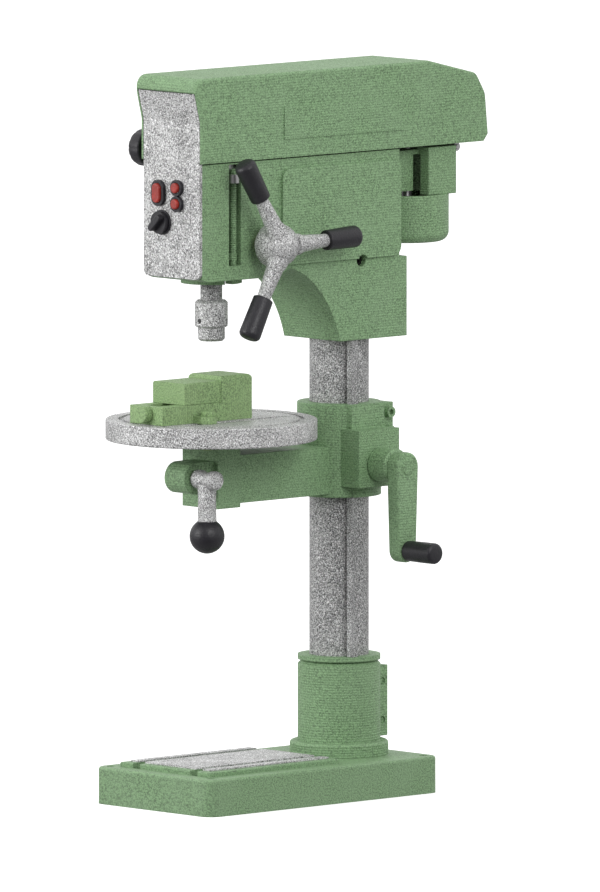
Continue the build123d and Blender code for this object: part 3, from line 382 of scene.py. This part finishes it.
def rounded_block(mesh, low, high, radius, segments=3):
    """A box between two corners with every edge rounded."""
    low, high = Vector(low), Vector(high)
    made = bmesh.ops.create_cube(mesh, size=1.0)["verts"]
    size = high - low
    bmesh.ops.scale(mesh, vec=size, verts=made)
    bmesh.ops.translate(mesh, vec=(low + high) / 2, verts=made)
    edges = list({edge for vert in made for edge in vert.link_edges})
    bmesh.ops.bevel(
        mesh, geom=edges, offset=radius, segments=segments, profile=0.5, affect="EDGES", material=-1)


def at(point, turn):
    return Matrix.Translation(point) @ turn


# ------------------------------------------------------------------ operators
FLOOR_REACH = 600.0  # past the horizon of the camera
SOFTBOX_SIZE = 1.2
KEY_POWER = 34.0
FILL_POWER = 34.0
AIM_POINT = Vector((0.0, -0.05, 0.6))
VIEW_CENTRE = Vector((-0.037, -0.039, 0.476))
VIEW_HEIGHT = 1.227  # what the picture spans from top to bottom at the machine
SENSOR_HEIGHT = 36.0


class DRILL_OT_stage(bpy.types.Operator):
    """Sets the floor, the lights and the camera"""

    bl_idname = "drill.stage"
    bl_label = "Stage"

    def execute(self, context):
        sizes = context.scene.drill_sizes
        floor_mesh = bmesh.new()
        bmesh.ops.create_grid(floor_mesh, x_segments=2, y_segments=2, size=FLOOR_REACH)
        data = bpy.data.meshes.new("floor")
        floor_mesh.to_mesh(data)
        floor_mesh.free()
        floor = bpy.data.objects.new("floor", data)
        context.scene.collection.objects.link(floor)
        material, tree, shader, coords = new_material("pale_floor")
        tone = noise(tree, coords, 3.0)
        pale = blend_colours(tree, tone, (0.93, 0.93, 0.93), (0.96, 0.96, 0.96))
        tree.links.new(pale, shader.inputs["Base Color"])
        shader.inputs["Roughness"].default_value = 0.9
        shader.inputs["Emission Color"].default_value = (1.0, 1.0, 1.0, 1.0)
        shader.inputs["Emission Strength"].default_value = 0.35
        data.materials.append(material)
        floor.visible_diffuse = False
        floor.visible_glossy = False
        self.sky(context, sizes)
        self.softbox(context, "key", (2.6, -1.0, 1.9), KEY_POWER)
        self.softbox(context, "left", (-0.9, -2.7, 1.2), FILL_POWER)
        self.camera(context, sizes)
        context.scene.view_settings.view_transform = "Standard"
        return {"FINISHED"}

    def sky(self, context, sizes):
        """A bright dome, dimmer under the bench line and behind the viewer, as round a light tent."""
        world = bpy.data.worlds.new("studio")
        world.use_nodes = True
        tree = world.node_tree
        coords = tree.nodes.new("ShaderNodeTexCoord").outputs["Generated"]
        split = tree.nodes.new("ShaderNodeSeparateXYZ")
        tree.links.new(coords, split.inputs["Vector"])
        above = spread(tree, split.outputs["Z"], -0.12, 0.12, 0.42, 0.86)
        toward = tree.nodes.new("ShaderNodeVectorMath")
        toward.operation = "DOT_PRODUCT"
        toward.inputs[1].default_value = (sin(sizes.view_azimuth), -cos(sizes.view_azimuth), 0.0)
        tree.links.new(coords, toward.inputs[0])
        behind = spread(tree, toward.outputs["Value"], 0.35, 0.95, 1.25, 0.45)
        strength = tree.nodes.new("ShaderNodeMath")
        strength.operation = "MULTIPLY"
        tree.links.new(above, strength.inputs[0])
        tree.links.new(behind, strength.inputs[1])
        tree.links.new(strength.outputs["Value"], tree.nodes["Background"].inputs["Strength"])
        tree.nodes["Background"].inputs["Color"].default_value = (1.0, 1.0, 1.0, 1.0)
        context.scene.world = world

    def softbox(self, context, name, place, power):
        light = bpy.data.lights.new(name, "AREA")
        light.size = SOFTBOX_SIZE
        light.energy = power
        lamp = bpy.data.objects.new(name, light)
        lamp.location = place
        aim = AIM_POINT - Vector(place)
        lamp.rotation_euler = aim.to_track_quat("-Z", "Y").to_euler()
        context.scene.collection.objects.link(lamp)

    def camera(self, context, sizes):
        around, up = sizes.view_azimuth, sizes.view_elevation
        away = Vector((sin(around) * cos(up), -cos(around) * cos(up), sin(up)))
        lens = bpy.data.cameras.new("camera")
        lens.sensor_fit = "VERTICAL"
        lens.sensor_height = SENSOR_HEIGHT
        lens.lens = SENSOR_HEIGHT * sizes.view_distance / VIEW_HEIGHT
        lens.clip_end = 2000.0
        camera = bpy.data.objects.new("camera", lens)
        camera.location = VIEW_CENTRE + away * sizes.view_distance
        camera.rotation_euler = (-away).to_track_quat("-Z", "Y").to_euler()
        context.scene.collection.objects.link(camera)
        context.scene.camera = camera


class DRILL_OT_finishes(bpy.types.Operator):
    """Makes the finishes and gives each CAD node its own"""

    bl_idname = "drill.finishes"
    bl_label = "Finishes"

    def execute(self, context):
        colours, sizes = context.scene.drill_colours, context.scene.drill_sizes
        enamel("sage_enamel", colours.enamel, sizes)
        enamel("vise_enamel", colours.vise_enamel, sizes, striped="Y")
        silver_paint("silver_paint", colours.silver, sizes)
        # a darker copy of the silver paint, painted shade on the column, lift rack and spindle
        silver_paint("shaded_silver", shade(tuple(colours.silver), 0.66), sizes)
        base_enamel("base_enamel", colours, sizes)
        turned_steel("turned_steel")
        moulding("black_moulding", colours.black, sizes)
        moulding("red_moulding", colours.red, sizes, rough=(0.28, 0.5), grain_share=0.9)
        plain_stuff("rubber", (0.012, 0.012, 0.012), (0.035, 0.034, 0.032), 0.0, 0.78, 220.0)
        plain_stuff("blackened_steel", (0.006, 0.006, 0.006), (0.022, 0.021, 0.020), 0.6, 0.5, 240.0)
        plain_stuff("cast_bronze", (0.38, 0.23, 0.09), (0.58, 0.40, 0.18), 0.9, 0.36, 120.0)
        plain_stuff("laminations", (0.06, 0.055, 0.05), (0.14, 0.13, 0.12), 0.5, 0.6, 300.0)
        for part in frame["record"]["subparts"]:
            node = frame["nodes"][part["node"]]
            own = OWN_FINISH.get(part["node"])
            node.data.materials.clear()
            node.data.materials.append(bpy.data.materials[own] if own else finish(part["material_slot"]))
        return {"FINISHED"}


class DRILL_OT_feed_star(bpy.types.Operator):
    """Makes the feed hub, its three levers and their grips"""

    bl_idname = "drill.feed_star"
    bl_label = "Feed star"

    def execute(self, context):
        sizes = context.scene.drill_sizes
        low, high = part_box("feed_hub")
        centre = Vector(JOINTS["feed_turn"]["pos_m"])
        inner, outer = low[0], high[0]
        radius = (high[2] - low[2]) / 2
        neck = 0.68 * radius
        bevel = 2 * MM
        round_edge = 4 * MM
        shoulder = inner + 11 * MM
        mesh = bmesh.new()
        profile = [(0.0, inner), (neck - bevel, inner), (neck, inner + bevel), (neck, shoulder - MM)]
        profile += arc(round_edge, radius - round_edge, shoulder + round_edge, -90, 0)
        profile += arc(radius, 0.0, outer - radius, 0, 86, 18)
        profile += [(0.0, outer)]
        lathe(mesh, profile, at((0.0, centre.y, centre.z), ALONG["X"]))
        finished_piece("feed_hub_turned", mesh, "feed_star", "machined_silver", ["feed_hub"], sharp=30)
        arm_x = (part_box("feed_arms")[0][0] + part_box("feed_arms")[1][0]) / 2
        reach = 139 * MM
        grip_start = reach - 60 * MM
        tang_end = grip_start + 5 * MM
        lever = [(0.0, 12 * MM), (15.5 * MM, 20 * MM), (14.5 * MM, 28 * MM), (12 * MM, 34 * MM)]
        lever += [(9.4 * MM, grip_start - 6 * MM), (9.0 * MM, tang_end), (0.0, tang_end)]
        thick = sizes.grip_radius
        mouth, crown = 2 * MM, 7 * MM
        hand = [(0.0, grip_start), (thick - 3 * MM, grip_start)]
        hand += arc(mouth, thick - 3.2 * MM, grip_start + mouth, -90, 0, 4)
        hand += arc(crown, thick - crown, reach - crown, 0, 75, 6)
        hand += [(0.0, reach)]
        first_lever = 2
        levers, grips = bmesh.new(), bmesh.new()
        for k in range(3):
            turn = Matrix.Rotation(radians(first_lever + 120 * k), 4, "X") @ ALONG["Y"]
            place = at((arm_x, centre.y, centre.z), turn)
            lathe(levers, lever, place, 40)
            lathe(grips, hand, place, 40)
        finished_piece("feed_levers", levers, "feed_star", "machined_silver", ["feed_arms"])
        finished_piece("feed_lever_grips", grips, "feed_star", "black_plastic", ["feed_grips"])
        return {"FINISHED"}


class DRILL_OT_crank(bpy.types.Operator):
    """Makes the crank that raises the table, and its grip"""

    bl_idname = "drill.crank"
    bl_label = "Crank"

    def execute(self, context):
        low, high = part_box("crank_arm")
        shaft = Vector(JOINTS["crank_turn"]["pos_m"])
        pin = Vector(JOINTS["grip_spin"]["pos_m"])
        thick = 22 * MM
        wide_end, narrow_end = 20.5 * MM, 16.5 * MM
        inner_face = high[0] - thick
        mesh = bmesh.new()
        outline = []
        for centre, radius in ((shaft, wide_end), (pin, narrow_end)):
            ring = bmesh.ops.create_circle(mesh, segments=40, radius=radius)["verts"]
            place = at((inner_face, centre.y, centre.z), ALONG["X"])
            bmesh.ops.transform(mesh, matrix=place, verts=ring)
            outline += ring
        hull = bmesh.ops.convex_hull(mesh, input=outline)
        inside = [item for item in hull["geom_interior"] if isinstance(item, bmesh.types.BMVert)]
        bmesh.ops.delete(mesh, geom=inside, context="VERTS")
        bmesh.ops.dissolve_limit(mesh, angle_limit=radians(1), verts=mesh.verts, edges=mesh.edges)
        if len(mesh.faces) > 1:
            bmesh.ops.delete(mesh, geom=list(mesh.faces)[1:], context="FACES_ONLY")
        grown = bmesh.ops.extrude_face_region(mesh, geom=list(mesh.faces))
        moved = [item for item in grown["geom"] if isinstance(item, bmesh.types.BMVert)]
        bmesh.ops.translate(mesh, vec=(thick, 0, 0), verts=moved)
        bmesh.ops.recalc_face_normals(mesh, faces=mesh.faces)
        rims = [edge for edge in mesh.edges if edge.is_manifold and edge.calc_face_angle(0) > radians(60)]
        bmesh.ops.bevel(
            mesh, geom=rims, offset=3.5 * MM, segments=4, profile=0.5, affect="EDGES", material=-1)
        hub = (high[1] - low[1]) / 2
        bevel = 2 * MM
        hub_end = inner_face + bevel
        profile = [(0.0, low[0]), (hub - bevel, low[0]), (hub, low[0] + bevel), (hub, inner_face - 3 * MM)]
        profile += [(hub - 6 * MM, hub_end), (0.0, hub_end)]
        lathe(mesh, profile, at((0.0, shaft.y, shaft.z), ALONG["X"]))
        boss_foot, boss_top = high[0] - 1 * MM, high[0] + 1.5 * MM
        boss = [(0.0, boss_foot), (12 * MM, boss_foot), (10 * MM, boss_top), (0.0, boss_top)]
        lathe(mesh, boss, at((0.0, shaft.y, shaft.z), ALONG["X"]), 40)
        finished_piece("crank_casting", mesh, "crank", "green_paint", ["crank_arm"])
        low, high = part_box("crank_grip")
        radius = (high[2] - low[2]) / 2
        mesh = bmesh.new()
        profile = [(0.0, low[0]), (radius - 3 * MM, low[0])]
        profile += arc(2.5 * MM, radius - 3 * MM, low[0] + 2.5 * MM, -90, 0, 4)
        profile += [(radius, (low[0] + high[0]) / 2)]
        profile += arc(5 * MM, radius - 5 * MM, high[0] - 5 * MM, 0, 80, 6)
        profile += [(0.0, high[0])]
        lathe(mesh, profile, at((0.0, pin.y, pin.z), ALONG["X"]))
        finished_piece("crank_grip_turned", mesh, "grip", "black_plastic", ["crank_grip"])
        return {"FINISHED"}


class DRILL_OT_lock_lever(bpy.types.Operator):
    """Makes the lever that locks the table, and its ball"""

    bl_idname = "drill.lock_lever"
    bl_label = "Table lock"

    def execute(self, context):
        pivot = Vector(JOINTS["table_lock"]["pos_m"])
        low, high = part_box("lock_lever")
        ball_low, ball_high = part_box("lock_ball")
        rod_x = (ball_low[0] + ball_high[0]) / 2
        hub_out = high[0]
        hub_in = 2 * rod_x - hub_out
        radius = high[2] - pivot.z
        waist = radius - 2.5 * MM
        mesh = bmesh.new()
        inner_round, outer_round = 4 * MM, 5 * MM
        ear, waist_start = 12 * MM, 17 * MM
        profile = [(0.0, hub_in), (radius - inner_round, hub_in)]
        profile += arc(inner_round, radius - inner_round, hub_in + inner_round, -90, 0, 5)
        profile += [(radius, hub_in + ear), (waist, hub_in + waist_start), (waist, hub_out - waist_start)]
        profile += [(radius, hub_out - ear)]
        profile += arc(outer_round, radius - outer_round, hub_out - outer_round, 0, 90, 6)
        profile += [(0.0, hub_out)]
        lathe(mesh, profile, at((0.0, pivot.y, pivot.z), ALONG["X"]))
        drop = pivot.z - (ball_low[2] + ball_high[2]) / 2
        stem = [(0.0, 2 * MM), (13.4 * MM, 6 * MM), (12.2 * MM, 24 * MM)]
        stem += [(13.2 * MM, drop - 14 * MM), (0.0, drop - 6 * MM)]
        lathe(mesh, stem, at((rod_x, pivot.y, pivot.z), ALONG["-Z"]), 40)
        stud_radius = 6 * MM
        stud_end = hub_in + 1 * MM
        stud = [(0.0, low[0]), (stud_radius, low[0]), (stud_radius, stud_end), (0.0, stud_end)]
        lathe(mesh, stud, at((0.0, pivot.y, pivot.z), ALONG["X"]), 32)
        finished_piece("lock_lever_forged", mesh, "lock", "machined_silver", ["lock_lever"])
        ball = 24 * MM
        ball_z = ball_low[2] + ball
        neck_z = ball_z + 20.4 * MM
        mesh = bmesh.new()
        profile = [(0.0, ball_low[2])] + arc(ball, 0.0, ball_z, -85, 56, 22)
        profile += [(13.4 * MM, neck_z), (0.0, neck_z)]
        lathe(mesh, profile, at((rod_x, pivot.y, 0.0), ALONG["Z"]))
        finished_piece("lock_ball_turned", mesh, "lock", "black_plastic", ["lock_ball"])
        return {"FINISHED"}


class DRILL_OT_latch_knob(bpy.types.Operator):
    """Makes the fluted knob that latches the hood"""

    bl_idname = "drill.latch_knob"
    bl_label = "Latch knob"

    def execute(self, context):
        flutes = context.scene.drill_sizes.knob_flutes
        low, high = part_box("latch_knob")
        pivot = Vector(JOINTS["latch_turn"]["pos_m"])
        radius = (high[2] - low[2]) / 2
        mesh = bmesh.new()
        span = high[0] - low[0]
        collar = 13.5 * MM
        back_round, front_round = 3 * MM, 11 * MM
        back = 7 * MM
        profile = [(0.0, 0.0), (collar, 0.0), (collar, 6 * MM), (radius - 4 * MM, back)]
        profile += arc(back_round, radius - back_round, back + back_round, -90, 0, 4)
        profile += arc(front_round, radius - front_round, span - front_round, 0, 75, 8)
        profile += [(0.0, span)]
        lathe(mesh, profile, at((high[0], pivot.y, pivot.z), ALONG["-X"]), flutes * 8)
        flute_depth = 0.6 * MM
        for vert in mesh.verts:
            offset = Vector((0.0, vert.co.y - pivot.y, vert.co.z - pivot.z))
            if offset.length > radius - 6 * MM:
                angle = offset.angle(Vector((0, 1, 0))) * (1 if offset.z >= 0 else -1)
                dip = max(0.0, cos(angle * flutes)) ** 2
                vert.co -= offset.normalized() * (flute_depth * dip)
        finished_piece("latch_knob_fluted", mesh, "latch", "black_plastic", ["latch_knob"])
        return {"FINISHED"}


class DRILL_OT_depth_stop(bpy.types.Operator):
    """Cuts the thread of the depth rod"""

    bl_idname = "drill.depth_stop"
    bl_label = "Depth stop"

    def execute(self, context):
        pitch = context.scene.drill_sizes.thread_pitch
        low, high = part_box("depth_rod")
        nut_low, nut_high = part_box("depth_nut")
        x, y = (nut_low[0] + nut_high[0]) / 2, (nut_low[1] + nut_high[1]) / 2
        mesh = bmesh.new()
        bottom, top = low[2] + 9 * MM, high[2] - 1 * MM
        crest = (high[1] - low[1]) / 2
        shank = crest - 0.5 * MM
        root = crest - 1.1 * MM
        profile = [(0.0, low[2]), (shank, low[2]), (shank, bottom)]
        for k in range(int((top - bottom) / pitch)):
            z = bottom + k * pitch
            profile += [(root, z), (crest, z + pitch / 2)]
        profile += [(root, top), (0.0, high[2])]
        lathe(mesh, profile, at((x, y, 0.0), ALONG["Z"]), 32)
        arm_z = low[2] + 21 * MM
        arm_high = (x + 3 * MM, y + crest, arm_z + crest)
        rounded_block(mesh, (low[0], y - crest, arm_z - crest), arm_high, 1 * MM)
        finished_piece("depth_rod_threaded", mesh, "quill_slide", "green_paint", ["depth_rod"], sharp=60)
        return {"FINISHED"}


class DRILL_OT_vise(bpy.types.Operator):
    """Adds the drill vise's jaw plates"""

    bl_idname = "drill.vise"
    bl_label = "Vise plates"

    def execute(self, context):
        low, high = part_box("vise_moving_jaw")
        teeth = 14
        jaw_gap = 0.3 * MM
        width = (high[0] - low[0]) / 2 - 5 * MM
        step = 2 * width / teeth
        tooth = 0.86 * step
        bottom, top = high[2] - 24 * MM, high[2] - 4 * MM
        plates = (
            ("moving_jaw_plate", "jaw", high[1], 1),
            ("fixed_jaw_plate", "table", high[1] + jaw_gap, -1),
        )
        for name, body, face, out in plates:
            mesh = bmesh.new()
            back, front = sorted((face - out * 2.0 * MM, face - out * 0.05 * MM))
            for k in range(teeth):
                x = -width + k * step
                rounded_block(mesh, (x, back, bottom), (x + tooth, front, top), 0.25 * MM, 1)
            finished_piece(name, mesh, body, "steel")
        return {"FINISHED"}


class DRILL_OT_marks(bpy.types.Operator):
    """Adds the front panel's four screws"""

    bl_idname = "drill.marks"
    bl_label = "Panel screws"

    def execute(self, context):
        low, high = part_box("front_panel")
        face = low[1] + 10 * MM
        inset = 9 * MM
        mesh = bmesh.new()
        head, socket = 3.6 * MM, 0.9 * MM
        screw = [(0.0, 0.0), (head, 0.0), (head, 0.7 * MM), (2.6 * MM, 1.5 * MM)]
        screw += [(socket, 1.7 * MM), (socket, 0.9 * MM), (0.0, 0.9 * MM)]
        for x in (low[0] + inset, high[0] - inset):
            for z in (low[2] + 14 * MM, low[2] + 190 * MM):
                lathe(mesh, screw, at((x, face, z), ALONG["-Y"]), 24)
        finished_piece("panel_screws", mesh, "machine", "machined_silver")
        return {"FINISHED"}


class DRILL_PT_panel(bpy.types.Panel):
    """Lists what the add-on makes"""

    bl_label = "Pillar Drill"
    bl_idname = "DRILL_PT_panel"
    bl_space_type = "VIEW_3D"
    bl_region_type = "UI"
    bl_category = "Pillar Drill"

    def draw(self, context):
        for group in (context.scene.drill_colours, context.scene.drill_sizes):
            for name in group.bl_rna.properties.keys():
                if name not in {"rna_type", "name"}:
                    self.layout.prop(group, name)
        for operator in OPERATORS:
            self.layout.operator(operator.bl_idname)


OPERATORS = (
    DRILL_OT_stage, DRILL_OT_finishes, DRILL_OT_feed_star, DRILL_OT_crank, DRILL_OT_lock_lever,
    DRILL_OT_latch_knob, DRILL_OT_depth_stop, DRILL_OT_vise, DRILL_OT_marks,
)
CLASSES = (DrillColours, DrillSizes, *OPERATORS, DRILL_PT_panel)


def register():
    for cls in CLASSES:
        bpy.utils.register_class(cls)
    bpy.types.Scene.drill_colours = PointerProperty(type=DrillColours)
    bpy.types.Scene.drill_sizes = PointerProperty(type=DrillSizes)


def unregister():
    del bpy.types.Scene.drill_sizes
    del bpy.types.Scene.drill_colours
    for cls in reversed(CLASSES):
        bpy.utils.unregister_class(cls)


def main():
    register()
    bpy.ops.drill.stage()
    bpy.ops.drill.finishes()
    bpy.ops.drill.feed_star()
    bpy.ops.drill.crank()
    bpy.ops.drill.lock_lever()
    bpy.ops.drill.latch_knob()
    bpy.ops.drill.depth_stop()
    bpy.ops.drill.vise()
    bpy.ops.drill.marks()


if __name__ == "__main__":
    main()
